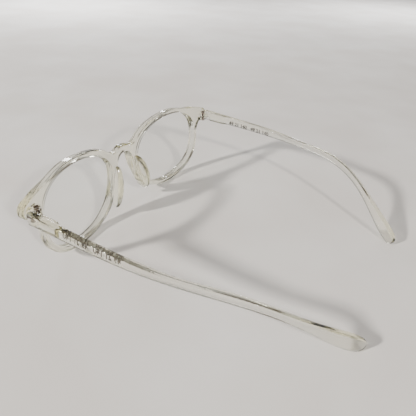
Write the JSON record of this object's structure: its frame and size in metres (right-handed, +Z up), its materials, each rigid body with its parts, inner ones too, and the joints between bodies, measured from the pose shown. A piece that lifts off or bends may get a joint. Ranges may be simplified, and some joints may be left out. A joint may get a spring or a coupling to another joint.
{
  "type": "eyeglasses",
  "caption": "Clear plastic full-rim eyeglasses with round-topped lenses, bonded nose pads and temples that fold on screwed barrel hinges.",
  "frame": {"origin": "middle of the footprint on the surface that the open glasses stand on", "axes": "+Z up, -Y the way the wearer looks, +X the wearer's left; the temples run to +Y"},
  "size_m": [0.141, 0.1354, 0.0417],
  "materials": {
    "front_plastic": "polished crystal-clear plastic with a faint straw tint",
    "temple_plastic": "polished crystal-clear plastic with a faint straw tint",
    "nose_pad": "clear plastic, slightly cloudier than the rims",
    "lens": "clear coated lens plastic",
    "screw_steel": "dark plated steel",
    "nut_steel": "dark plated steel"
  },
  "bodies": {
    "front": {"front_frame": "front_plastic", "left_lens": "lens", "right_lens": "lens", "left_nose_pad": "nose_pad", "right_nose_pad": "nose_pad", "left_hinge_screw": "screw_steel", "right_hinge_screw": "screw_steel", "left_hinge_nut": "nut_steel", "right_hinge_nut": "nut_steel"},
    "left_temple": {"left_temple": "temple_plastic"},
    "right_temple": {"right_temple": "temple_plastic"}
  },
  "joints": [
    {"name": "left_temple_fold", "type": "hinge", "parent": "front", "child": "left_temple", "pos_m": [0.0645, -0.05436, 0.03275], "axis": [0, -0.0523, 0.9986], "range_deg": [0, 78]},
    {"name": "right_temple_fold", "type": "hinge", "parent": "front", "child": "right_temple", "pos_m": [-0.0645, -0.05436, 0.03275], "axis": [0, 0.0523, -0.9986], "range_deg": [0, 73]}
  ]
}
